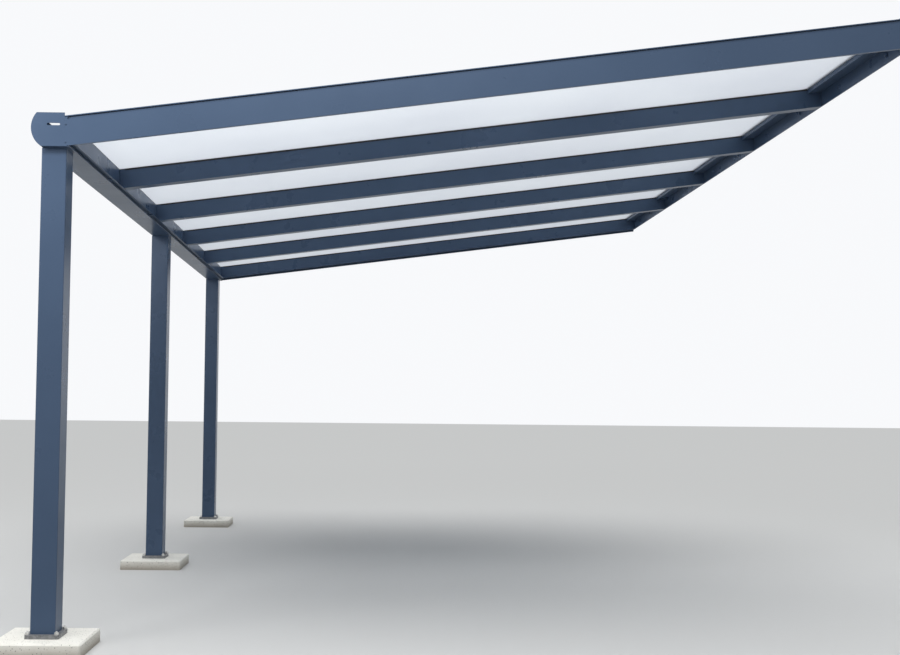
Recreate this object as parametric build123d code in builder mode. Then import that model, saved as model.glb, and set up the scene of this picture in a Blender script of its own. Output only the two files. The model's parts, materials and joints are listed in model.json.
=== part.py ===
"""Lean-to carport of aluminium extrusions with opal polycarbonate roof panels, for a house wall.

Millimetres. The wall face is the plane X = 0 and the roof falls away from it towards -X, down to
the gutter. Y runs along the wall and Z is up. The origin is the middle of the back face of the
wall profile. Heights named in this file are measured from the top of the concrete pads.
"""
import os
from math import copysign, cos, radians, sin, tan

from build123d import *

os.makedirs("parts", exist_ok=True)

# Whole carport
bays = 5
rafter_pitch = 1000.0
projection = 3905.0  # wall face to the outer face of the posts
clear_height = 2153.0  # pad top to the underside of the gutter
roof_slope = 7.48  # degrees

# Posts, their foot plates and the concrete pads
post_width = 110.0
post_wall = 3.0
post_corner = 4.0
post_setback = 30.0  # outer post faces stand this far inside the ends of the roof
foot_plate_width = 150.0
foot_plate_thickness = 18.0
foot_plate_corner = 12.0
anchor_spacing = 126.0
anchor_hole = 11.0
spigot_height = 120.0
spigot_wall = 4.0
spigot_clearance = 0.5
pad_depth = 390.0  # square to the wall
pad_width = 350.0  # along the wall
pad_height = 60.0
pad_chamfer = 6.0

# Gutter: a round-nosed trough with a chamber under its floor, measured from the outer post face
gutter_height = 150.0
gutter_wall = 3.0
gutter_depth = 120.0  # outer post face to the inner face that the rafters meet
nose_foot = 4.0
nose_bulge = 40.0
nose_bulge_height = 88.0
nose_top = -16.0
trough_floor = 25.0  # top of the trough's floor
lip_reach = 9.0  # of the flat lip behind the gutter's underside
seat_reach = 26.0  # of the sloping ledge under the rafters
cap_thickness = 3.0
cap_step = 12.5  # the caps stop short under the ends of the gable cover strips
cap_screw_port = 4.5
cap_screw_hole = 2.1
port_bite = 0.5  # the screw ports sink this far into the walls
overflow_length = 59.0
overflow_width = 10.0
overflow_place = 58.5
overflow_height = 98.0
drain_hole = 60.0  # in the trough's floor, over the far post, which takes the water down
drain_outlet = 50.0  # in that post's outer face
drain_outlet_height = 190.0

# Rafters
rafter_width = 60.0
rafter_depth = 100.0  # underside to the shoulders that carry the panels
rafter_wall = 2.5
rafter_rise = 17.5  # gutter underside to the rafter's lower corner at the gutter
channel_gap = 8.0
channel_wall = 2.0

# Roof panels, their seals and what holds them
panel_thickness = 10.0
panel_edge = 10.0  # rafter middle to the panel's edge
panel_overhang = 34.0
panel_top_clearance = 5.0
lower_seal = 3.0
upper_seal = 2.5
seal_width = 9.0
seal_setback = 1.0  # outer edge of the rafter's shoulder to the seal
strip_thickness = 4.0
strip_stem = 7.4
strip_stem_depth = 12.0
end_profile_wall = 1.5
end_profile_depth = 20.0

# Gable trims
trim_thickness = 3.0
trim_drop = 14.5  # below the rafter's underside
trim_lip = 12.0  # turned in under the rafter
leg_wall = 2.0
leg_setback = 4.0  # the leg stands back under the cover strip's edge
leg_width = 18.0

# Wall profile and its cover
wall_plate_thickness = 5.0
wall_plate_drop = 1.0  # below the rafters' lower corner at the wall
wall_plate_height = 170.0
shelf_reach = 80.0
shelf_depth = 22.0
shelf_wall = 3.0
wall_hole = 11.0
wall_hole_height = 40.0
cover_reach = 92.0
cover_upstand = 26.0

# Worked out from the sizes above
slope_cos = cos(radians(roof_slope))
slope_sin = sin(radians(roof_slope))
slope_tan = tan(radians(roof_slope))
roof_length = bays * rafter_pitch + rafter_width
roof_end = roof_length / 2
post_x = -projection
gutter_inner_x = post_x + gutter_depth
rafter_foot = clear_height + rafter_rise
wall_foot = rafter_foot - slope_tan * gutter_inner_x
origin_height = wall_foot - wall_plate_drop + wall_plate_height / 2
panel_level = rafter_depth + lower_seal
panel_top = panel_level + panel_thickness
strip_level = panel_top + upper_seal
strip_top = strip_level + strip_thickness
channel_height = strip_level - rafter_depth
trim_top = rafter_depth + leg_wall
shelf_level = rafter_depth - shelf_depth
rafter_y = [(i - bays / 2) * rafter_pitch for i in range(bays + 1)]
bay_y = [(i - (bays - 1) / 2) * rafter_pitch for i in range(bays)]
post_end_y = roof_end - post_setback - post_width / 2
wall_hole_y = [y + side * rafter_pitch / 4 for y in bay_y for side in (-1, 1)]
wall_hole_level = wall_hole_height - wall_plate_height / 2
posts = {"near": -post_end_y, "middle": 0.0, "far": post_end_y}


def level(height):
    """Turns a height above the pads into the model's Z."""
    return height - origin_height


def run_to(x, rise):
    """Distance up the slope, from the gutter, of the point at this X and rise off the rafters' underside."""
    return (x - gutter_inner_x + rise * slope_sin) / slope_cos


# The roof's plane: its X runs up the slope, its Y along the wall, and it holds the rafters' undersides
up_slope = Vector(slope_cos, 0, slope_sin)
roof = Plane(
    origin=(gutter_inner_x, 0, level(rafter_foot)),
    x_dir=up_slope,
    z_dir=(-slope_sin, 0, slope_cos),
)


def roof_side(y):
    """A plane across the rafters at this Y, with X up the slope and Y square to the roof."""
    return Plane(origin=roof.from_local_coords((0, y, 0)), x_dir=up_slope, z_dir=(0, -1, 0))


def roof_section(run, y):
    """A plane square to the slope, with X along the wall and Y square to the roof."""
    return Plane(origin=roof.from_local_coords((run, y, 0)), x_dir=(0, 1, 0), z_dir=up_slope)


def upright(x, y):
    """An upright plane at this Y, its X towards the wall from x, its Y up from the gutter's underside."""
    return Plane(origin=(x, y, level(clear_height)), x_dir=(1, 0, 0), z_dir=(0, -1, 0))


def save(part, name):
    part.label = name
    export_step(part, f"parts/{name}.step")


panel_low = -panel_overhang
panel_high = run_to(-wall_plate_thickness - panel_top_clearance, panel_level)
cover_edge = run_to(-cover_reach, strip_level)


def concrete_pad(y):
    """The visible top of a post's footing, drilled through for the anchors."""
    with BuildPart() as pad:
        with BuildSketch(Plane.XY.offset(level(-pad_height))):
            with Locations((post_x + post_width / 2, y)):
                Rectangle(pad_depth, pad_width)
        extrude(amount=pad_height)
        chamfer(pad.edges().filter_by(Axis.Z), pad_chamfer)
        chamfer(pad.faces().sort_by(Axis.Z)[-1].edges(), pad_chamfer)
        with BuildSketch(Plane.XY.offset(level(0))):
            with Locations((post_x + post_width / 2, y)):
                with GridLocations(anchor_spacing, anchor_spacing, 2, 2):
                    Circle(anchor_hole / 2)
        extrude(amount=-pad_height, mode=Mode.SUBTRACT)
    return pad.part


def foot_plate(y):
    """A square plate with four anchor holes, and the spigot that the post slides over."""
    spigot_width = post_width - 2 * post_wall - 2 * spigot_clearance
    with BuildPart() as plate:
        with BuildSketch(Plane.XY.offset(level(0))):
            with Locations((post_x + post_width / 2, y)):
                RectangleRounded(foot_plate_width, foot_plate_width, foot_plate_corner)
                with GridLocations(anchor_spacing, anchor_spacing, 2, 2):
                    Circle(anchor_hole / 2, mode=Mode.SUBTRACT)
        extrude(amount=foot_plate_thickness)
        with BuildSketch(Plane.XY.offset(level(foot_plate_thickness))):
            with Locations((post_x + post_width / 2, y)):
                Rectangle(spigot_width, spigot_width)
                Rectangle(spigot_width - 2 * spigot_wall, spigot_width - 2 * spigot_wall, mode=Mode.SUBTRACT)
        extrude(amount=spigot_height)
    return plate.part


def square_post(y):
    """A hollow square extrusion from its foot plate up to the gutter. The far one has the drain's outlet."""
    inner = post_width - 2 * post_wall
    with BuildPart() as post:
        with BuildSketch(Plane.XY.offset(level(foot_plate_thickness))):
            with Locations((post_x + post_width / 2, y)):
                RectangleRounded(post_width, post_width, post_corner)
                Rectangle(inner, inner, mode=Mode.SUBTRACT)
        extrude(amount=clear_height - foot_plate_thickness)
        if y == posts["far"]:
            with BuildSketch(Plane.YZ.offset(post_x)):
                with Locations((y, level(drain_outlet_height))):
                    Circle(drain_outlet / 2)
            extrude(amount=post_width / 2, mode=Mode.SUBTRACT)
    return post.part


for place, y in posts.items():
    save(concrete_pad(y), f"concrete_pad_{place}")
    save(foot_plate(y), f"foot_plate_{place}")
    save(square_post(y), f"post_{place}")


def roof_height(rise, depth):
    """Height over the gutter's underside of the roof's level at this rise, above this depth in the gutter."""
    return rafter_rise + rise / slope_cos - slope_tan * (gutter_depth - depth)


def gutter_outline():
    """The gutter's closed outer outline: flat underside, round nose, flat top and upright back."""
    with BuildLine() as outline:
        Line((nose_foot, 0), (gutter_depth, 0))
        Line((gutter_depth, 0), (gutter_depth, gutter_height))
        Line((gutter_depth, gutter_height), (nose_top, gutter_height))
        ThreePointArc((nose_top, gutter_height), (-nose_bulge, nose_bulge_height), (nose_foot, 0))
    return outline.wires()[0]


port_inset = gutter_wall + cap_screw_port - port_bite
port_places = [
    (gutter_depth - port_inset, overflow_height),
    (gutter_depth - port_inset, trough_floor - port_inset),
]
# Lines in the gutter's hollow and outside it, for the cut that opens its mouth
mouth_front = nose_top + gutter_wall
mouth_bottom = gutter_height - 2 * gutter_wall
mouth_back = gutter_depth - 2 * gutter_wall
over_top = gutter_height + gutter_wall
behind = gutter_depth + gutter_wall

with BuildPart() as gutter:
    with BuildSketch(upright(post_x, -roof_end)):
        with BuildLine():
            add(gutter_outline())
        make_face()
        offset(amount=-gutter_wall, mode=Mode.SUBTRACT)
        # The trough's mouth, from the nose to the back wall, whose top is cut to the roof's slope
        with BuildLine():
            Polyline(
                (mouth_front, over_top),
                (mouth_front, mouth_bottom),
                (mouth_back, mouth_bottom),
                (mouth_back, roof_height(rafter_depth, mouth_back)),
                (behind, roof_height(rafter_depth, behind)),
                (behind, over_top),
                close=True,
            )
        make_face(mode=Mode.SUBTRACT)
        with Locations((gutter_depth / 2, trough_floor - gutter_wall / 2)):
            Rectangle(gutter_depth + nose_bulge, gutter_wall)
        with BuildLine():
            add(gutter_outline())
        make_face(mode=Mode.INTERSECT)
        # Behind it a flat lip at the bottom, and over a groove the sloping ledge that the rafters sit on
        with Locations((gutter_depth + lip_reach / 2, gutter_wall / 2)):
            Rectangle(lip_reach, gutter_wall)
        seat_end = rafter_rise + slope_tan * seat_reach
        with BuildLine():
            Polyline(
                (gutter_depth, rafter_rise),
                (gutter_depth, rafter_rise - gutter_wall),
                (gutter_depth + seat_reach, seat_end - gutter_wall),
                (gutter_depth + seat_reach, seat_end),
                close=True,
            )
        make_face()
        # Screw ports for the end caps
        with Locations(*port_places):
            Circle(cap_screw_port)
            Circle(cap_screw_hole, mode=Mode.SUBTRACT)
    extrude(amount=-roof_length)
    with BuildSketch(Plane.XY.offset(level(clear_height))):
        with Locations((post_x + post_width / 2, posts["far"])):
            Circle(drain_hole / 2)
    extrude(amount=trough_floor, mode=Mode.SUBTRACT)
save(gutter.part, "gutter")


def gutter_cap(side):
    """A flat end cap with an overflow slot and screw holes; side is -1 for the near end, 1 for the far."""
    step = gutter_depth - cap_step
    with BuildPart() as cap:
        with BuildSketch(upright(post_x, side * (roof_end + cap_thickness / 2))):
            with BuildLine():
                add(gutter_outline())
            make_face()
            with BuildLine():
                Polyline(
                    (step, gutter_height),
                    (step, roof_height(panel_top, step)),
                    (gutter_depth, roof_height(panel_top, gutter_depth)),
                    (gutter_depth, gutter_height),
                    close=True,
                )
            make_face(mode=Mode.SUBTRACT)
            with Locations((overflow_place, overflow_height)):
                SlotOverall(overflow_length, overflow_width, mode=Mode.SUBTRACT)
            with Locations(*port_places):
                Circle(cap_screw_hole, mode=Mode.SUBTRACT)
        extrude(amount=cap_thickness / 2, both=True)
    return cap.part


save(gutter_cap(-1), "gutter_cap_near")
save(gutter_cap(1), "gutter_cap_far")


def rafter(y):
    """A box extrusion with two shoulders for the panels and a screw channel that stands between them."""
    finish = run_to(0, 0) + rafter_depth
    with BuildPart() as beam:
        with BuildSketch(roof_section(panel_low, y)):
            with Locations((0, rafter_depth / 2)):
                Rectangle(rafter_width, rafter_depth)
                Rectangle(rafter_width - 2 * rafter_wall, rafter_depth - 2 * rafter_wall, mode=Mode.SUBTRACT)
            for side in (-1, 1):
                with Locations((side * (channel_gap + channel_wall) / 2, rafter_depth + channel_height / 2)):
                    Rectangle(channel_wall, channel_height)
        extrude(amount=finish - panel_low)
        with BuildSketch(roof_side(y)):
            # The foot is cut upright against the gutter, and only the channel goes on over the trough
            with BuildLine():
                Polyline(
                    (run_to(gutter_inner_x, -rafter_depth), -rafter_depth),
                    (run_to(gutter_inner_x, rafter_depth), rafter_depth),
                    (panel_low - rafter_depth, rafter_depth),
                    (panel_low - rafter_depth, -rafter_depth),
                    close=True,
                )
            make_face()
            # The head is cut upright against the wall plate and notched for the shelf and the cover
            with BuildLine():
                Polyline(
                    (run_to(-wall_plate_thickness, -rafter_depth), -rafter_depth),
                    (run_to(-wall_plate_thickness, shelf_level), shelf_level),
                    (run_to(-shelf_reach, shelf_level), shelf_level),
                    (run_to(-shelf_reach, rafter_depth), rafter_depth),
                    (run_to(-cover_reach, rafter_depth), rafter_depth),
                    (run_to(-cover_reach, 2 * rafter_depth), 2 * rafter_depth),
                    (finish + rafter_depth, 2 * rafter_depth),
                    (finish + rafter_depth, -rafter_depth),
                    close=True,
                )
            make_face()
        extrude(amount=rafter_width, both=True, mode=Mode.SUBTRACT)
    return beam.part


def cover_strip(y):
    """A flat strip over the rafter, with a stem in its screw channel. At a gable it also covers the trim."""
    with BuildPart() as strip:
        with BuildSketch(roof_section(panel_low, y)):
            with Locations((0, strip_level + strip_thickness / 2)):
                Rectangle(rafter_width, strip_thickness)
            with Locations((0, strip_level - strip_stem_depth / 2)):
                Rectangle(strip_stem, strip_stem_depth)
        extrude(amount=cover_edge - panel_low)
        if y in (rafter_y[0], rafter_y[-1]):
            lap_start = run_to(gutter_inner_x - cap_step, strip_top)
            with BuildSketch(roof_section(lap_start, copysign(roof_end + trim_thickness / 2, y))):
                with Locations((0, strip_level + strip_thickness / 2)):
                    Rectangle(trim_thickness, strip_thickness)
            extrude(amount=cover_edge - lap_start)
    return strip.part


for i, y in enumerate(rafter_y, start=1):
    save(rafter(y), f"rafter_{i}")
    save(cover_strip(y), f"cover_strip_{i}")

panel_width = rafter_pitch - 2 * panel_edge
seal_offset = (rafter_pitch - rafter_width + seal_width) / 2 + seal_setback
panel_length = panel_high - panel_low


def roof_panel(y):
    """One flat multiwall sheet between two rafters, opal white."""
    with BuildPart() as panel:
        with BuildSketch(roof.offset(panel_level)):
            with Locations((panel_low + panel_length / 2, y)):
                Rectangle(panel_length, panel_width)
        extrude(amount=panel_thickness)
    return panel.part


def panel_end_profile(y):
    """The channel that closes the lower end of a panel, over the trough."""
    height = panel_thickness + 2 * end_profile_wall
    with BuildPart() as profile:
        with BuildSketch(roof_side(y)):
            with Locations((panel_low - end_profile_wall, panel_level + panel_thickness / 2)):
                Rectangle(end_profile_depth, height, align=(Align.MIN, Align.CENTER))
            with Locations((panel_low, panel_level + panel_thickness / 2)):
                Rectangle(
                    end_profile_depth, panel_thickness, align=(Align.MIN, Align.CENTER), mode=Mode.SUBTRACT
                )
        extrude(amount=panel_width / 2, both=True)
    return profile.part


def panel_seals(y):
    """The rubber strips under and over a panel, on the rafters, the shelf and the gutter's back wall."""
    back_wall = run_to(gutter_inner_x - gutter_wall, rafter_depth)
    foot = run_to(gutter_inner_x, rafter_depth)
    shelf_edge = run_to(-shelf_reach, rafter_depth)
    end_profile_edge = panel_low + end_profile_depth
    with BuildPart() as seals:
        with BuildSketch(roof.offset(rafter_depth)):
            with Locations(((back_wall + foot) / 2, y)):
                Rectangle(foot - back_wall, panel_width)
            for side in (-1, 1):
                with Locations(((foot + shelf_edge) / 2, y + side * seal_offset)):
                    Rectangle(shelf_edge - foot, seal_width)
            with Locations((shelf_edge + 1.5 * seal_width, y)):
                Rectangle(seal_width, panel_width - 2 * seal_width)
        extrude(amount=lower_seal)
        with BuildSketch(roof.offset(panel_top)):
            for side in (-1, 1):
                with Locations(((end_profile_edge + cover_edge) / 2, y + side * seal_offset)):
                    Rectangle(cover_edge - end_profile_edge, seal_width)
            with Locations((shelf_edge + 1.5 * seal_width, y)):
                Rectangle(seal_width, panel_width - 2 * seal_width)
        extrude(amount=upper_seal)
    return seals.part


for i, y in enumerate(bay_y, start=1):
    save(roof_panel(y), f"roof_panel_{i}")
    save(panel_end_profile(y), f"panel_end_profile_{i}")
    save(panel_seals(y), f"panel_seals_{i}")


leg_start = run_to(gutter_inner_x, strip_level)
leg_finish = run_to(-wall_plate_thickness, rafter_depth)


def gable_trim(side):
    """The flat plate on a gable rafter, with a box leg that fills the panel's place between the seals."""
    with BuildPart() as trim:
        with BuildSketch(roof_side(side * (roof_end + trim_thickness / 2))):
            with BuildLine():
                Polyline(
                    (run_to(gutter_inner_x, -trim_drop), -trim_drop),
                    (run_to(0, -trim_drop), -trim_drop),
                    (run_to(0, trim_top), trim_top),
                    (run_to(gutter_inner_x, trim_top), trim_top),
                    close=True,
                )
            make_face()
        extrude(amount=trim_thickness / 2, both=True)
        # The lip turned in under the rafter starts clear of the gutter's ledges
        with BuildSketch(roof_section(run_to(gutter_inner_x + 2 * seat_reach, 0), side * roof_end)):
            with Locations((-side * trim_lip / 2, trim_thickness / 2 - trim_drop)):
                Rectangle(trim_lip, trim_thickness)
        extrude(amount=run_to(-2 * wall_plate_thickness, 0) - run_to(gutter_inner_x + 2 * seat_reach, 0))
        # The leg, its outer wall carried down to the rafter's shoulder and a web from there to the plate
        leg_middle = side * (roof_end - leg_setback - leg_width / 2)
        web_width = leg_setback + trim_thickness
        with BuildSketch(roof_section(leg_start, leg_middle)):
            with Locations((0, panel_level + panel_thickness / 2)):
                Rectangle(leg_width, panel_thickness)
                Rectangle(leg_width - 2 * leg_wall, panel_thickness - 2 * leg_wall, mode=Mode.SUBTRACT)
            with Locations((side * (leg_width - leg_wall) / 2, rafter_depth + lower_seal / 2)):
                Rectangle(leg_wall, lower_seal)
            with Locations((side * (leg_width + web_width) / 2, rafter_depth + leg_wall / 2)):
                Rectangle(web_width, leg_wall)
        extrude(amount=leg_finish - leg_start)
    return trim.part


def gable_seals(side):
    """The rubber strips under and over a gable trim's leg, inside its outer wall."""
    middle = roof_end - leg_setback - leg_wall - seal_width / 2
    with BuildPart() as seals:
        with BuildSketch(roof_section(leg_start, side * middle)):
            with Locations((0, rafter_depth + lower_seal / 2)):
                Rectangle(seal_width, lower_seal)
            with Locations((0, panel_top + upper_seal / 2)):
                Rectangle(seal_width, upper_seal)
        extrude(amount=leg_finish - leg_start)
    return seals.part


for side, place in ((-1, "near"), (1, "far")):
    save(gable_trim(side), f"gable_trim_{place}")
    save(gable_seals(side), f"gable_seals_{place}")

with BuildPart() as wall_profile:
    with BuildSketch(Plane.YZ.offset(-wall_plate_thickness)):
        Rectangle(roof_length, wall_plate_height)
        with Locations(*[(y, wall_hole_level) for y in wall_hole_y]):
            Circle(wall_hole / 2, mode=Mode.SUBTRACT)
    extrude(amount=wall_plate_thickness)
    with BuildSketch(roof_side(-roof_end)):
        with BuildLine():
            Polyline(
                (run_to(-shelf_reach, shelf_level), shelf_level),
                (run_to(-wall_plate_thickness / 2, shelf_level), shelf_level),
                (run_to(-wall_plate_thickness / 2, rafter_depth), rafter_depth),
                (run_to(-shelf_reach, rafter_depth), rafter_depth),
                close=True,
            )
        make_face()
        offset(amount=-shelf_wall, kind=Kind.INTERSECTION, mode=Mode.SUBTRACT)
    extrude(amount=-roof_length)
save(wall_profile.part, "wall_profile")

cover_crest = strip_top + cover_upstand

with BuildPart() as wall_cover:
    with BuildSketch(roof_side(-roof_end - trim_thickness)):
        with BuildLine():
            Polyline(
                (run_to(-cover_reach, strip_level), strip_level),
                (run_to(-wall_plate_thickness, strip_level), strip_level),
                (run_to(-wall_plate_thickness, cover_crest), cover_crest),
                (run_to(-wall_plate_thickness - strip_thickness, cover_crest), cover_crest),
                (run_to(-wall_plate_thickness - strip_thickness, strip_top), strip_top),
                (run_to(-cover_reach, strip_top), strip_top),
                close=True,
            )
        make_face()
    extrude(amount=-roof_length - 2 * trim_thickness)
save(wall_cover.part, "wall_cover")
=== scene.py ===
"""The finish of a lean-to carport, put on in the order in which it is put up, from the pads to the roof.

Metres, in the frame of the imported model: X = 0 is the back of the wall profile, Y runs along it and Z is up.
"""
import json
import math

import bmesh
import bpy
from mathutils import Matrix, Vector


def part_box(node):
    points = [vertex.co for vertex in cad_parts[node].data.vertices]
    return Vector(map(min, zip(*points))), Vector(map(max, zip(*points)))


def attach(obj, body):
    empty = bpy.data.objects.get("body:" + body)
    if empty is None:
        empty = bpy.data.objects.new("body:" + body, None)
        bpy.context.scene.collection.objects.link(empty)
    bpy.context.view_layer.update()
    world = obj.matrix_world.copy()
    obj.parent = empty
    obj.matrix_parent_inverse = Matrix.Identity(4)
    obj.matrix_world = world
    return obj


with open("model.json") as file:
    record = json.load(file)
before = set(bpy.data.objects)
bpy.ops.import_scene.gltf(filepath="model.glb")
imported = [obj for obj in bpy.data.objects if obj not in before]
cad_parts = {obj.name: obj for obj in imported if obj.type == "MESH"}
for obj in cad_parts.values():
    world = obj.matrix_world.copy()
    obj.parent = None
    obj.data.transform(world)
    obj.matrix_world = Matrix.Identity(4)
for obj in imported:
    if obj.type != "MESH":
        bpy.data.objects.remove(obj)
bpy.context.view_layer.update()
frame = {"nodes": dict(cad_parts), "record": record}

# Concrete pads: cast in place in a wooden form, pale grey and full of small air holes, whose darker
# grey is painted shade. Damp has darkened them at the foot.


def new_material(name):
    """An empty material, its nodes, and a function that joins two sockets."""
    material = bpy.data.materials.new(name)
    material.use_nodes = True
    material.node_tree.nodes.clear()
    return material, material.node_tree.nodes, material.node_tree.links.new


def shader_end(nodes, join):
    """The Principled shader of a material, joined to its output."""
    shader = nodes.new("ShaderNodeBsdfPrincipled")
    output = nodes.new("ShaderNodeOutputMaterial")
    join(shader.outputs["BSDF"], output.inputs["Surface"])
    return shader


def place_on_piece(nodes):
    """The place on the piece in metres, which all patterns follow."""
    return nodes.new("ShaderNodeTexCoord").outputs["Object"]


def noise(nodes, join, place, scale, detail=3.0):
    """Smooth random values, with features of about 1 / scale metres."""
    texture = nodes.new("ShaderNodeTexNoise")
    texture.inputs["Scale"].default_value = scale
    texture.inputs["Detail"].default_value = detail
    texture.inputs["Roughness"].default_value = 0.55
    join(place, texture.inputs["Vector"])
    return texture.outputs["Fac"]


def spread(nodes, join, value, low, high, start=0.3, end=0.7):
    """Turns values from start to end into numbers or colours from low to high."""
    remap = nodes.new("ShaderNodeMapRange")
    remap.inputs["From Min"].default_value = start
    remap.inputs["From Max"].default_value = end
    join(value, remap.inputs["Value"])
    if isinstance(low, (int, float)):
        remap.inputs["To Min"].default_value = low
        remap.inputs["To Max"].default_value = high
        return remap.outputs["Result"]
    blend = nodes.new("ShaderNodeMix")
    blend.data_type = "RGBA"
    blend.inputs["A"].default_value = (*low, 1.0)
    blend.inputs["B"].default_value = (*high, 1.0)
    join(remap.outputs["Result"], blend.inputs["Factor"])
    return blend.outputs["Result"]


def overlay(nodes, join, factor, under, over):
    """The colour under, with the plain colour over where factor is 1."""
    blend = nodes.new("ShaderNodeMix")
    blend.data_type = "RGBA"
    join(factor, blend.inputs["Factor"])
    join(under, blend.inputs["A"])
    blend.inputs["B"].default_value = (*over, 1.0)
    return blend.outputs["Result"]


def relief(nodes, join, height, distance, below=None):
    """A bump of that height in metres, on top of another one."""
    bump = nodes.new("ShaderNodeBump")
    bump.inputs["Distance"].default_value = distance
    join(height, bump.inputs["Height"])
    if below is not None:
        join(below, bump.inputs["Normal"])
    return bump.outputs["Normal"]


def coat(names, material):
    """Gives carried-over nodes their finish."""
    for name in names:
        for held in frame["nodes"][name].material_slots:
            held.material = material


post_places = ("near", "middle", "far")
pad_low, pad_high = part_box("concrete_pad_near")
cast_dark, cast_light = (0.84, 0.82, 0.75), (0.95, 0.93, 0.86)
grit_grey = (0.46, 0.44, 0.40)
hole_shade_grey = (0.20, 0.19, 0.17)
damp_brown = (0.25, 0.20, 0.14)
cloud_scale = 9.0  # this scale and those below: features to the metre
grit_scale = 420.0
air_hole_scale = 85.0
grit_height = 0.0006
air_hole_depth = 0.0015
damp_height = 0.045  # over the pad's underside
damp_share = 0.75

concrete, nodes, join = new_material("pale_cast_concrete")
shader = shader_end(nodes, join)
place = place_on_piece(nodes)
cloudy = noise(nodes, join, place, cloud_scale, detail=5.0)
colour = spread(nodes, join, cloudy, cast_dark, cast_light)
grit = noise(nodes, join, place, grit_scale, detail=2.0)
gritty = spread(nodes, join, grit, 0.0, 0.30, 0.54, 0.78)
colour = overlay(nodes, join, gritty, colour, grit_grey)
air_holes = nodes.new("ShaderNodeTexVoronoi")
air_holes.inputs["Scale"].default_value = air_hole_scale
join(place, air_holes.inputs["Vector"])
in_hole = spread(nodes, join, air_holes.outputs["Distance"], 1.0, 0.0, 0.10, 0.22)
# painted shade: the air holes are darkened to the grey of the shade inside them
colour = overlay(nodes, join, in_hole, colour, hole_shade_grey)
height = nodes.new("ShaderNodeSeparateXYZ")
join(place, height.inputs["Vector"])
damp = spread(nodes, join, height.outputs["Z"], damp_share, 0.0, pad_low.z, pad_low.z + damp_height)
colour = overlay(nodes, join, damp, colour, damp_brown)
join(colour, shader.inputs["Base Color"])
join(spread(nodes, join, cloudy, 0.78, 0.92), shader.inputs["Roughness"])
pitted = relief(nodes, join, spread(nodes, join, in_hole, 0.0, -1.0, 0.0, 1.0), air_hole_depth)
join(relief(nodes, join, grit, grit_height, pitted), shader.inputs["Normal"])
coat([f"concrete_pad_{post_place}" for post_place in post_places], concrete)

# Foot plates: hot-dip galvanised steel, dull grey with large zinc flowers. Each one is bolted down
# at its four corners.

flower_dark, flower_light = (0.15, 0.155, 0.16), (0.27, 0.275, 0.285)
dull_grey = (0.22, 0.22, 0.22)
flower_scale = 95.0
dull_scale = 40.0
dull_height = 0.0004

galvanised, nodes, join = new_material("galvanised_steel")
shader = shader_end(nodes, join)
place = place_on_piece(nodes)
flowers = nodes.new("ShaderNodeTexVoronoi")
flowers.inputs["Scale"].default_value = flower_scale
join(place, flowers.inputs["Vector"])
flower = nodes.new("ShaderNodeSeparateColor")
join(flowers.outputs["Color"], flower.inputs["Color"])
colour = spread(nodes, join, flower.outputs["Red"], flower_dark, flower_light, 0.0, 1.0)
dull = noise(nodes, join, place, dull_scale, detail=4.0)
colour = overlay(nodes, join, spread(nodes, join, dull, 0.0, 0.5, 0.5, 0.7), colour, dull_grey)
join(colour, shader.inputs["Base Color"])
shader.inputs["Metallic"].default_value = 0.30
join(spread(nodes, join, flower.outputs["Green"], 0.40, 0.58, 0.0, 1.0), shader.inputs["Roughness"])
join(relief(nodes, join, dull, dull_height), shader.inputs["Normal"])
coat([f"foot_plate_{post_place}" for post_place in post_places], galvanised)

# Foot anchors: four M10 studs of stainless steel stand in each pad. Each has a washer and a nut on the
# foot plate, and its thread shows above the nut.


def prism(name, sides, width, low, high):
    """An upright prism at the origin, that wide across its corners, left in edit mode."""
    bpy.ops.object.select_all(action="DESELECT")
    bpy.ops.mesh.primitive_cylinder_add(vertices=sides, radius=width / 2, depth=high - low)
    piece = bpy.context.object
    piece.name = name
    bpy.ops.object.mode_set(mode="EDIT")
    bpy.ops.transform.translate(value=(0.0, 0.0, (low + high) / 2))
    return piece


def pick_ends(piece, foot_too=False):
    """In edit mode, selects only the piece's flat top, or its top and its foot."""
    bpy.ops.mesh.select_mode(type="FACE")
    bpy.ops.mesh.select_all(action="DESELECT")
    edited = bmesh.from_edit_mesh(piece.data)
    heights = [vertex.co.z for vertex in edited.verts]
    same_level = 1e-6
    for face in edited.faces:
        middle = face.calc_center_median().z
        at_top = middle > max(heights) - same_level
        at_foot = middle < min(heights) + same_level
        face.select_set(at_top or foot_too and at_foot)
    bmesh.update_edit_mesh(piece.data)


def break_edges(piece, width, foot_too=False, segments=2):
    """Bevels the edges round the piece's top, or its top and its foot, and leaves edit mode."""
    pick_ends(piece, foot_too)
    bpy.ops.mesh.bevel(offset=width, segments=segments, affect="EDGES")
    bpy.ops.object.mode_set(mode="OBJECT")


def select_only(pieces):
    """Selects these objects and no others, with the first one active."""
    bpy.ops.object.select_all(action="DESELECT")
    for piece in pieces:
        piece.select_set(True)
    bpy.context.view_layer.objects.active = pieces[0]


def one_pattern(name, parts):
    """Joins the parts of a small piece into one object that is copied later."""
    select_only(parts)
    bpy.ops.object.join()
    bpy.ops.object.shade_smooth_by_angle(angle=math.radians(35.0))
    bpy.context.object.name = name
    return bpy.context.object


def set_out(pattern, name, stations, finish):
    """Copies a small piece to each station, a matrix, and joins the copies to one piece of the carport."""
    bpy.ops.object.select_all(action="DESELECT")
    for station in stations:
        copy = pattern.copy()
        copy.data = pattern.data.copy()
        copy.matrix_world = station
        bpy.context.scene.collection.objects.link(copy)
        copy.select_set(True)
        bpy.context.view_layer.objects.active = copy
    bpy.ops.object.join()
    bpy.ops.object.transform_apply(location=True, rotation=True, scale=True)
    piece = bpy.context.object
    piece.name = name
    piece.data.materials.clear()
    piece.data.materials.append(finish)
    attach(piece, "root")


def across_flats(width):
    """The width across the corners of a hexagon that is this wide across its flats."""
    return width / math.cos(math.radians(30.0))


def half_spacing(mount):
    """Half of the distance between a mount's holes, from its millimetres to metres."""
    return mount["dims"]["spacing_x_mm"] / 2 / 1000.0


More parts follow.
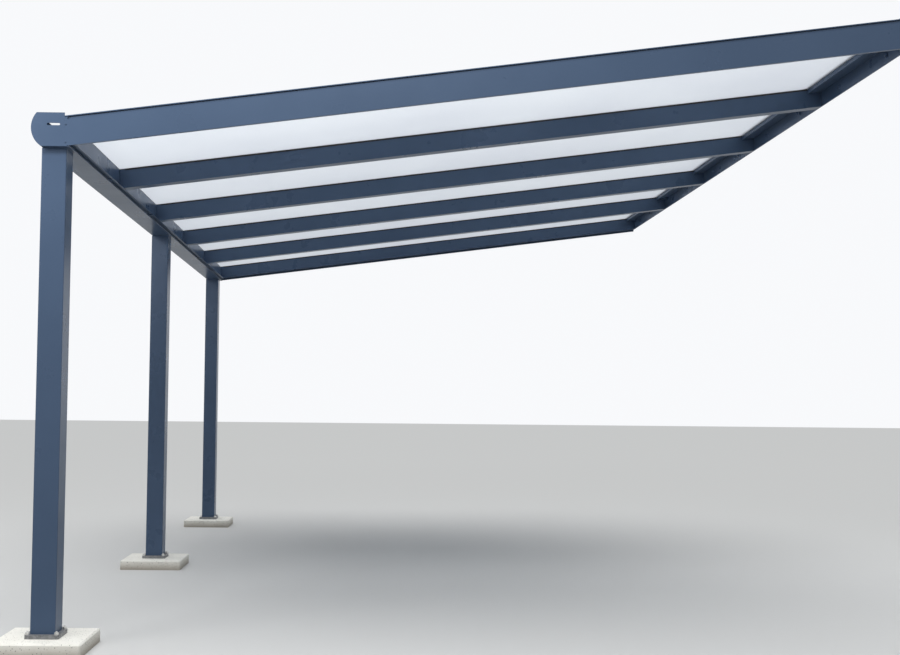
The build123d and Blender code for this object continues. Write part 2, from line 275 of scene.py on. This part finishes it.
worn_dark, worn_light = (0.50, 0.50, 0.49), (0.68, 0.68, 0.66)
worn_scale = 300.0
brushed_scale = 1500.0
brushed_height = 0.00005

stainless, nodes, join = new_material("stainless_steel")
shader = shader_end(nodes, join)
place = place_on_piece(nodes)
worn = noise(nodes, join, place, worn_scale)
join(spread(nodes, join, worn, worn_dark, worn_light), shader.inputs["Base Color"])
shader.inputs["Metallic"].default_value = 1.0
join(spread(nodes, join, worn, 0.22, 0.40), shader.inputs["Roughness"])
brushed = noise(nodes, join, place, brushed_scale)
join(relief(nodes, join, brushed, brushed_height), shader.inputs["Normal"])

stud_width = 0.010
stud_edge = 0.0006
stud_root = 0.86  # the thread's root, as a share of the stud's width
thread_pitch = 0.0015
thread_turns = 3
nut_flats = 0.017
nut_height = 0.0084
nut_edge = 0.0008
washer_width = 0.020
washer_thickness = 0.002
washer_edge = 0.0003

washer = prism("washer", 32, washer_width, 0.0, washer_thickness)
break_edges(washer, washer_edge)
nut_top = washer_thickness + nut_height
nut = prism("nut", 6, across_flats(nut_flats), washer_thickness, nut_top)
break_edges(nut, nut_edge, foot_too=True)
stud = prism("stud", 20, stud_width, 0.0, nut_top)
pick_ends(stud)
for turn in range(thread_turns):
    for width in (stud_root, 1 / stud_root):
        bpy.ops.mesh.extrude_region_move(TRANSFORM_OT_translate={"value": (0.0, 0.0, thread_pitch / 2)})
        bpy.ops.transform.resize(value=(width, width, 1.0))
break_edges(stud, stud_edge)
foot_anchor = one_pattern("foot_anchor", [washer, nut, stud])

mounts = {mount["name"]: mount for mount in frame["record"]["mounts"]}
for post_place in post_places:
    mount = mounts[f"foot_anchors_{post_place}"]
    x, y, plate_middle = mount["pos_m"]
    plate_top = 2 * plate_middle - pad_high.z
    half = half_spacing(mount)
    stations = [
        Matrix.Translation((x + side_x * half, y + side_y * half, plate_top))
        for side_x in (-1, 1)
        for side_y in (-1, 1)
    ]
    set_out(foot_anchor, f"anchor_bolts_{post_place}", stations, stainless)
bpy.data.objects.remove(foot_anchor)

# Posts: square aluminium extrusions, powder coated in a satin blue-grey anthracite with a fine orange
# peel. Each slides over the spigot of its foot plate and carries the gutter.

coat_dark, coat_light = (0.060, 0.096, 0.163), (0.070, 0.110, 0.184)
dust_grey = 0.32
dust_share = 0.2
dusty = tuple((1 - dust_share) * channel + dust_share * dust_grey for channel in coat_light)
cloud_scale = 1.6
speck_scale = 900.0
wiped_scale = 6.0
peel_scale = 420.0
peel_height = 0.00005

anthracite, nodes, join = new_material("anthracite_powder_coat")
shader = shader_end(nodes, join)
place = place_on_piece(nodes)
cloudy = noise(nodes, join, place, cloud_scale, detail=4.0)
colour = spread(nodes, join, cloudy, coat_dark, coat_light)
specks = noise(nodes, join, place, speck_scale, detail=1.0)
colour = overlay(nodes, join, spread(nodes, join, specks, 0.0, 0.30, 0.55, 0.75), colour, dusty)
join(colour, shader.inputs["Base Color"])
shader.inputs["Metallic"].default_value = 0.10
shader.inputs["Specular IOR Level"].default_value = 0.16
wiped = noise(nodes, join, place, wiped_scale, detail=5.0)
join(spread(nodes, join, wiped, 0.25, 0.33, 0.2, 0.8), shader.inputs["Roughness"])
peel = noise(nodes, join, place, peel_scale, detail=2.0)
join(relief(nodes, join, peel, peel_height), shader.inputs["Normal"])
coat([f"post_{post_place}" for post_place in post_places], anthracite)

# Gutter and its end caps: a round-nosed aluminium extrusion that is also the beam over the posts, closed
# at its ends by flat plates. All have the finish of the posts.

coat(["gutter", "gutter_cap_near", "gutter_cap_far"], anthracite)

# Cap screws: two round-headed screws with a hexagon socket hold each end cap to the ports in the
# gutter's back wall. Their heads are coated like the cap.

cap_low, cap_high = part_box("gutter_cap_near")
screw_head_width = 0.0085
screw_head_height = 0.0026
screw_head_rounding = 0.0016
socket_flats = 0.0030
socket_depth = 0.0014
port_inset = 0.007  # gutter's inner face to the screws
port_heights = (0.018, 0.098)  # over the gutter's underside

head = prism("cap_screw", 24, screw_head_width, 0.0, screw_head_height)
break_edges(head, screw_head_rounding, segments=4)
socket_foot = screw_head_height - socket_depth
socket = prism("socket", 6, across_flats(socket_flats), socket_foot, 2 * screw_head_height)
bpy.ops.object.mode_set(mode="OBJECT")
cut = head.modifiers.new("socket", "BOOLEAN")
cut.operation = "DIFFERENCE"
cut.solver = "EXACT"
cut.object = socket
select_only([head])
bpy.ops.object.modifier_apply(modifier="socket")
bpy.data.objects.remove(socket)
cap_screw = one_pattern("cap_screw", [head])
for post_place, side in (("near", -1), ("far", 1)):
    turned = Matrix.Rotation(side * math.radians(-90.0), 4, "X")
    stations = [
        Matrix.Translation((cap_high.x - port_inset, side * abs(cap_low.y), cap_low.z + port_height)) @ turned
        for port_height in port_heights
    ]
    set_out(cap_screw, f"cap_screws_{post_place}", stations, anthracite)
bpy.data.objects.remove(cap_screw)

# Wall profile, rafters, cover strips, trims and the profiles that close the panels' lower ends:
# aluminium extrusions with the same finish. The rafters fall from the wall profile to the gutter.

rafter_names = [name for name in frame["nodes"] if name.startswith("rafter_")]
strip_names = [name for name in frame["nodes"] if name.startswith("cover_strip_")]
end_names = [name for name in frame["nodes"] if name.startswith("panel_end_profile_")]
coat(["wall_profile", "wall_cover", "gable_trim_near", "gable_trim_far"], anthracite)
coat(rafter_names + strip_names + end_names, anthracite)

# Wall anchors: ten M10 hexagon screws with wide washers hold the wall profile, two in each bay. They
# are coated like the profile, so that they don't stand out in its shade.

wall_washer_width = 0.030
wall_washer_thickness = 0.0025
wall_washer_edge = 0.0004
bolt_flats = 0.017
bolt_head_height = 0.0064
bolt_edge = 0.0008

washer = prism("wall_washer", 40, wall_washer_width, 0.0, wall_washer_thickness)
break_edges(washer, wall_washer_edge)
bolt_top = wall_washer_thickness + bolt_head_height
bolt_head = prism("bolt_head", 6, across_flats(bolt_flats), wall_washer_thickness, bolt_top)
break_edges(bolt_head, bolt_edge)
wall_anchor = one_pattern("wall_anchor", [washer, bolt_head])
facing_out = Matrix.Rotation(math.radians(-90.0), 4, "Y")
stations = []
for name, mount in mounts.items():
    if name.startswith("wall_anchors_bay_"):
        plate_middle, y, z = mount["pos_m"]
        for side in (-1, 1):
            seat = (2 * plate_middle, y + side * half_spacing(mount), z)
            stations.append(Matrix.Translation(seat) @ facing_out)
set_out(wall_anchor, "wall_anchor_bolts", stations, anthracite)
bpy.data.objects.remove(wall_anchor)

# Seals: black extruded rubber, matt and a little grey with dust. They are pressed between the panels
# and the aluminium, above and below.

rubber_dark, rubber_light = (0.012, 0.012, 0.013), (0.035, 0.035, 0.036)
dust_scale = 60.0

rubber, nodes, join = new_material("black_seal_rubber")
shader = shader_end(nodes, join)
dust = noise(nodes, join, place_on_piece(nodes), dust_scale, detail=4.0)
join(spread(nodes, join, dust, rubber_dark, rubber_light), shader.inputs["Base Color"])
shader.inputs["Roughness"].default_value = 0.75
coat([name for name in frame["nodes"] if "seals" in name], rubber)

# Seal lips: the lower seals hang over the rafters' upper edges with a soft black lip, which shows from
# below as a dark line beside each panel. The gable rafters have one on their inner side only.

roof_slope = math.radians(7.48)
up_slope = Vector((math.cos(roof_slope), 0.0, math.sin(roof_slope)))
off_slope = Vector((-math.sin(roof_slope), 0.0, math.cos(roof_slope)))
tilted = Matrix.Rotation(-roof_slope, 4, "Y")
lip_height = 0.009
lip_thickness = 0.0012
lip_rounding = 0.0009
lip_clearance = 0.0003  # under the panel
lip_end_gap = 0.002  # to the gutter and to the wall profile's shelf

panel = frame["nodes"]["roof_panel_1"]
lip_level = min(vertex.co.dot(off_slope) for vertex in panel.data.vertices) - lip_clearance
lip_start, lip_end = [
    (end_x + lip_level * math.sin(roof_slope)) / math.cos(roof_slope)
    for end_x in (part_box("gutter")[1].x + lip_end_gap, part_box("wall_profile")[0].x - lip_end_gap)
]
bpy.ops.object.select_all(action="DESELECT")
bpy.ops.mesh.primitive_cube_add(size=1.0)
seal_lip = bpy.context.object
bpy.ops.object.mode_set(mode="EDIT")
bpy.ops.transform.resize(value=(lip_end - lip_start, lip_thickness, lip_height))
bpy.ops.transform.translate(value=(0.0, -lip_thickness / 2, -lip_height / 2))
bpy.ops.mesh.select_mode(type="EDGE")
bpy.ops.mesh.select_all(action="DESELECT")
edited = bmesh.from_edit_mesh(seal_lip.data)
for edge in edited.edges:
    outer = all(end.co.y < -lip_thickness / 2 for end in edge.verts)
    lower = all(end.co.z < -lip_height / 2 for end in edge.verts)
    edge.select_set(outer and lower)
bmesh.update_edit_mesh(seal_lip.data)
bpy.ops.mesh.bevel(offset=lip_rounding, segments=4, affect="EDGES")
bpy.ops.object.mode_set(mode="OBJECT")
seal_lip = one_pattern("seal_lip", [seal_lip])

inner_sides = {"rafter_1": (1,), f"rafter_{len(rafter_names)}": (-1,)}
for name in rafter_names:
    rafter_low, rafter_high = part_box(name)
    stations = []
    for side in inner_sides.get(name, (-1, 1)):
        seat = up_slope * (lip_start + lip_end) / 2 + off_slope * lip_level
        seat.y = rafter_high.y if side > 0 else rafter_low.y
        half_turn = Matrix.Rotation(math.pi if side > 0 else 0.0, 4, "Z")
        stations.append(Matrix.Translation(seat) @ tilted @ half_turn)
    number = name.removeprefix("rafter_")
    set_out(seal_lip, f"seal_lips_{number}", stations, rubber)
bpy.data.objects.remove(seal_lip)

# Strip screws: hexagon screws with a flange go through each cover strip into the rafter's channel.
# A rubber washer under a steel one keeps the water out.

screw_step = 0.400
end_distance = 0.080  # strip's end to its first screw
rubber_width, rubber_thickness, rubber_edge = 0.0150, 0.0018, 0.0004
steel_width, steel_thickness, steel_edge = 0.0160, 0.0010, 0.0003
flange_width, flange_thickness, flange_edge = 0.0110, 0.0009, 0.0003
head_flats, head_height, head_edge = 0.0080, 0.0045, 0.0006

rubber_washer = prism("rubber_washer", 24, rubber_width, 0.0, rubber_thickness)
break_edges(rubber_washer, rubber_edge)
rubber_washer = one_pattern("rubber_washer", [rubber_washer])
steel_top = rubber_thickness + steel_thickness
steel_washer = prism("steel_washer", 24, steel_width, rubber_thickness, steel_top)
break_edges(steel_washer, steel_edge)
flange_top = steel_top + flange_thickness
flange = prism("flange", 20, flange_width, steel_top, flange_top)
break_edges(flange, flange_edge)
head = prism("head", 6, across_flats(head_flats), flange_top, flange_top + head_height)
break_edges(head, head_edge)
strip_screw = one_pattern("strip_screw", [steel_washer, flange, head])

for name in strip_names:
    number = name.removeprefix("cover_strip_")
    strip = frame["nodes"][name]
    strip_level = max(vertex.co.dot(off_slope) for vertex in strip.data.vertices)
    runs = [vertex.co.dot(up_slope) for vertex in strip.data.vertices]
    first, last = min(runs) + end_distance, max(runs) - end_distance
    count = round((last - first) / screw_step) + 1
    rafter_low, rafter_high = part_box(f"rafter_{number}")
    middle_y = (rafter_low.y + rafter_high.y) / 2
    stations = []
    for step in range(count):
        run = first + (last - first) * step / (count - 1)
        seat = up_slope * run + off_slope * strip_level + Vector((0.0, middle_y, 0.0))
        stations.append(Matrix.Translation(seat) @ tilted)
    set_out(strip_screw, f"strip_screws_{number}", stations, stainless)
    set_out(rubber_washer, f"strip_screw_washers_{number}", stations, rubber)
bpy.data.objects.remove(strip_screw)
bpy.data.objects.remove(rubber_washer)

# Roof panels: opal multiwall polycarbonate, white all through, that spreads the light it lets in.
# Its hollow chambers run down the slope and show as faint lines.

opal_dark, opal_light = (0.75, 0.77, 0.80), (0.80, 0.82, 0.84)
rib_grey = (0.57, 0.60, 0.66)
rib_share = 0.16
through_share = 0.74  # of the light goes through the sheet
chamber_width = 0.010
milky_scale = 0.8

opal, nodes, join = new_material("opal_multiwall_sheet")
place = place_on_piece(nodes)
surface = nodes.new("ShaderNodeBsdfPrincipled")
through = nodes.new("ShaderNodeBsdfTranslucent")
both = nodes.new("ShaderNodeMixShader")
output = nodes.new("ShaderNodeOutputMaterial")
join(surface.outputs["BSDF"], both.inputs[1])
join(through.outputs["BSDF"], both.inputs[2])
join(both.outputs["Shader"], output.inputs["Surface"])
both.inputs["Fac"].default_value = through_share
across = nodes.new("ShaderNodeSeparateXYZ")
join(place, across.inputs["Vector"])
turns = nodes.new("ShaderNodeMath")
turns.operation = "MULTIPLY"
turns.inputs[1].default_value = 2 * math.pi / chamber_width
join(across.outputs["Y"], turns.inputs[0])
ribs = nodes.new("ShaderNodeMath")
ribs.operation = "COSINE"
join(turns.outputs["Value"], ribs.inputs[0])
milky = noise(nodes, join, place, milky_scale)
colour = spread(nodes, join, milky, opal_dark, opal_light)
rib_shade = spread(nodes, join, ribs.outputs["Value"], 0.0, rib_share, 0.75, 1.0)
colour = overlay(nodes, join, rib_shade, colour, rib_grey)
join(colour, surface.inputs["Base Color"])
join(colour, through.inputs["Color"])
surface.inputs["Roughness"].default_value = 0.22
coat([name for name in frame["nodes"] if name.startswith("roof_panel_")], opal)

# The stage: a plain pale floor under the pads, soft light from above, from the open side and from the
# near corner, and the camera low beside the near gable, looking along the wall profile.


def seen_paths(nodes, join):
    """1 for what the eye sees, directly, mirrored in a gloss or through a sheet, and 0 for bounced light."""
    path = nodes.new("ShaderNodeLightPath")
    seen = path.outputs["Is Camera Ray"]
    for ray in ("Is Glossy Ray", "Is Transmission Ray"):
        either = nodes.new("ShaderNodeMath")
        either.operation = "MAXIMUM"
        join(seen, either.inputs[0])
        join(path.outputs[ray], either.inputs[1])
        seen = either.outputs["Value"]
    return seen


floor_width = 120.0
floor_middle_x = -2.0
floor_bounced = (0.43, 0.42, 0.40, 1.0)
floor_seen = (0.64, 0.64, 0.63, 1.0)

bpy.ops.object.select_all(action="DESELECT")
bpy.ops.mesh.primitive_plane_add(size=floor_width, location=(floor_middle_x, 0.0, pad_low.z))
floor = bpy.context.object
floor.name = "floor"
floor_finish, nodes, join = new_material("pale_floor")
bounced = nodes.new("ShaderNodeBsdfDiffuse")
bounced.inputs["Color"].default_value = floor_bounced
pale = nodes.new("ShaderNodeBsdfDiffuse")
pale.inputs["Color"].default_value = floor_seen
mixed = nodes.new("ShaderNodeMixShader")
join(seen_paths(nodes, join), mixed.inputs["Fac"])
join(bounced.outputs["BSDF"], mixed.inputs[1])
join(pale.outputs["BSDF"], mixed.inputs[2])
join(mixed.outputs["Shader"], nodes.new("ShaderNodeOutputMaterial").inputs["Surface"])
floor.data.materials.append(floor_finish)

studio_light, studio_strength = (0.90, 0.95, 1.0, 1.0), 0.28
backdrop, backdrop_strength = (0.94, 0.95, 0.97, 1.0), 1.0

studio = bpy.data.worlds.new("soft_studio")
bpy.context.scene.world = studio
studio.use_nodes = True
nodes, join = studio.node_tree.nodes, studio.node_tree.links.new
nodes.clear()
lit = nodes.new("ShaderNodeBackground")
lit.inputs["Color"].default_value = studio_light
lit.inputs["Strength"].default_value = studio_strength
seen = nodes.new("ShaderNodeBackground")
seen.inputs["Color"].default_value = backdrop
seen.inputs["Strength"].default_value = backdrop_strength
mixed = nodes.new("ShaderNodeMixShader")
join(seen_paths(nodes, join), mixed.inputs["Fac"])
join(lit.outputs["Background"], mixed.inputs[1])
join(seen.outputs["Background"], mixed.inputs[2])
join(mixed.outputs["Shader"], nodes.new("ShaderNodeOutputWorld").inputs["Surface"])


def softbox(name, width, height, watts, place, target):
    """A soft rectangular studio lamp that faces its target and doesn't show itself."""
    lamp = bpy.data.lights.new(name, "AREA")
    lamp.shape = "RECTANGLE"
    lamp.size = width
    lamp.size_y = height
    lamp.energy = watts
    holder = bpy.data.objects.new(name, lamp)
    holder.location = place
    holder.visible_camera = False
    holder.rotation_euler = (Vector(target) - Vector(place)).to_track_quat("-Z", "Y").to_euler()
    bpy.context.scene.collection.objects.link(holder)


softbox("corner_softbox", 0.8, 0.8, watts=16.0, place=(-4.9, -3.7, -0.1), target=(-3.8, -2.5, -0.4))
softbox("front_softbox", 3.0, 1.0, watts=108.0, place=(-3.1, -5.2, 1.7), target=(-2.8, -2.5, 0.2))
haze = bpy.data.lights.new("overhead_haze", "SUN")
haze.energy = 2.0
haze.angle = math.radians(70.0)
overhead = bpy.data.objects.new("overhead_haze", haze)
bpy.context.scene.collection.objects.link(overhead)

photo_width = 900.0
photo_height = 655.0
focal_pixels = 1065.4
aim_pixel = (379.8, 356.1)
eye_height = 1.0225  # over the pads
eye = Vector((-2.460, -7.198, pad_high.z + eye_height))
yaw, pitch, roll = math.radians(0.774), math.radians(2.683), math.radians(0.557)
ahead = Vector((math.sin(yaw) * math.cos(pitch), math.cos(yaw) * math.cos(pitch), math.sin(pitch)))
level_right = Vector((math.cos(yaw), -math.sin(yaw), 0.0))
level_up = level_right.cross(ahead)
right = level_right * math.cos(roll) + level_up * math.sin(roll)
up = level_up * math.cos(roll) - level_right * math.sin(roll)
lens = bpy.data.cameras.new("photo_camera")
lens.sensor_width = 36.0
lens.lens = focal_pixels * lens.sensor_width / photo_width
lens.shift_x = (photo_width / 2 - aim_pixel[0]) / photo_width
lens.shift_y = (aim_pixel[1] - photo_height / 2) / photo_width
lens.clip_start = 0.05
lens.clip_end = 500.0
camera = bpy.data.objects.new("photo_camera", lens)
camera.matrix_world = Matrix.Translation(eye) @ Matrix((right, up, -ahead)).transposed().to_4x4()
bpy.context.scene.collection.objects.link(camera)
bpy.context.scene.camera = camera
bpy.context.scene.view_settings.view_transform = "Standard"
